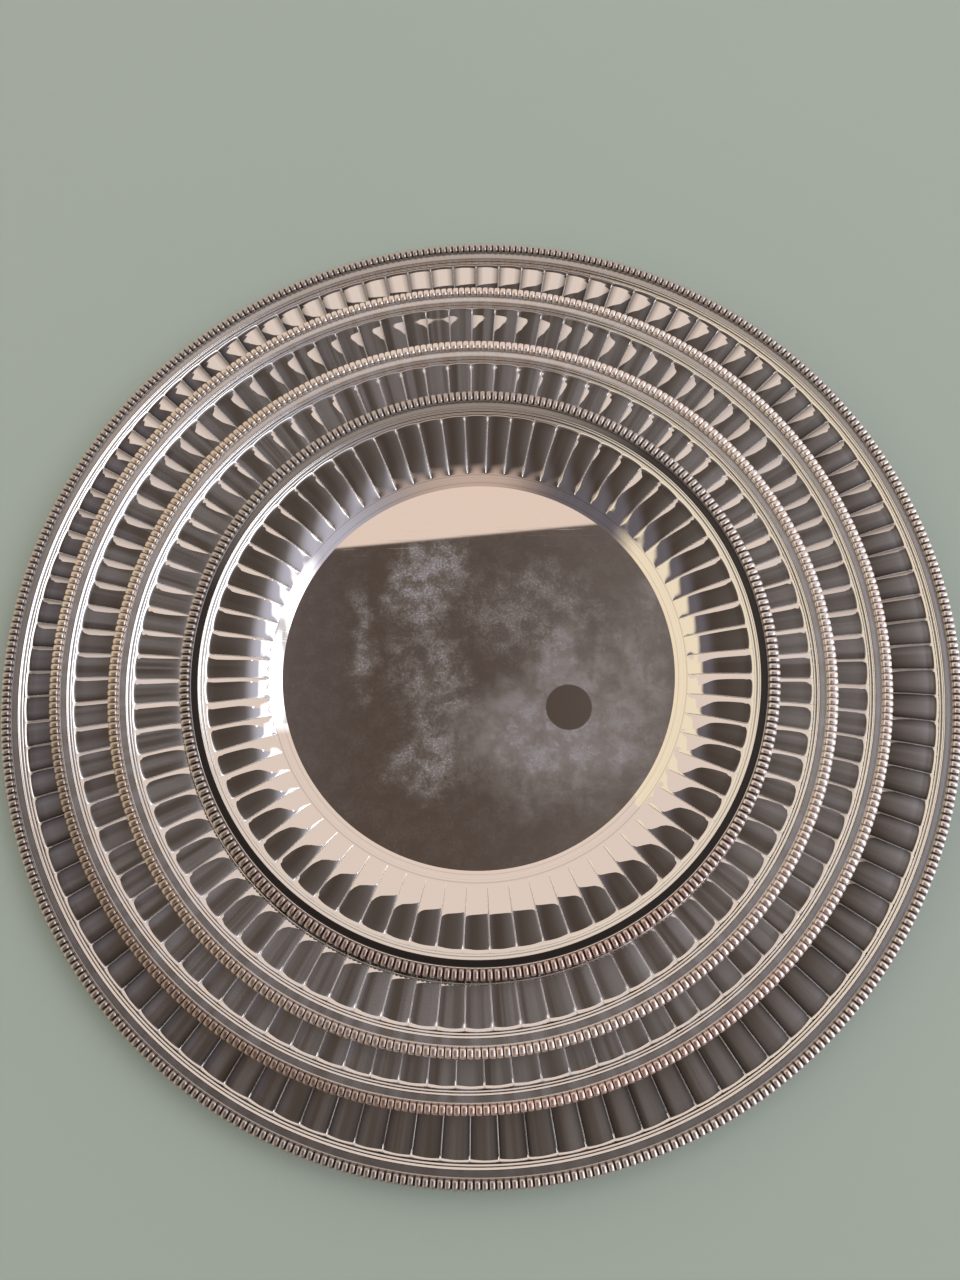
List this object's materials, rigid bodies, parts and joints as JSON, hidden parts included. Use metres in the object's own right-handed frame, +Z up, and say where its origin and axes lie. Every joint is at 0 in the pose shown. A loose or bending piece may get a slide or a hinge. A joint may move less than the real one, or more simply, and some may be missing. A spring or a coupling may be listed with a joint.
{
  "type": "offering plate set",
  "caption": "Nested set of round silver-plated offering plates of graduated size, each a shallow pressed dish with a border of radial lobes, a flat well and a reeded wire rim.",
  "frame": {"origin": "middle of the underside of the largest plate's base", "axes": "+Z up out of the dishes; +X to the right and +Y away from the viewer, as in the picture"},
  "size_m": [0.2538, 0.2538, 0.0147],
  "materials": {
    "silver_plate": "silver plate over brass, polished, with a thin haze and fine scratches",
    "worn_silver_plate": "silver plate worn warm on the crowns of the reeds"
  },
  "bodies": {
    "bottom_plate": {"bottom_dish": "silver_plate", "bottom_border": "worn_silver_plate"},
    "lower_plate": {"lower_dish": "silver_plate", "lower_border": "worn_silver_plate"},
    "upper_plate": {"upper_dish": "silver_plate", "upper_border": "worn_silver_plate"},
    "top_plate": {"top_dish": "silver_plate", "top_border": "worn_silver_plate"}
  },
  "joints": [
    {"name": "lower_lift", "type": "slide", "parent": "bottom_plate", "child": "lower_plate", "axis": [0, 0, 1], "range_m": [0, 0.12]},
    {"name": "upper_lift", "type": "slide", "parent": "lower_plate", "child": "upper_plate", "axis": [0, 0, 1], "range_m": [0, 0.12]},
    {"name": "top_lift", "type": "slide", "parent": "upper_plate", "child": "top_plate", "axis": [0, 0, 1], "range_m": [0, 0.12]}
  ]
}
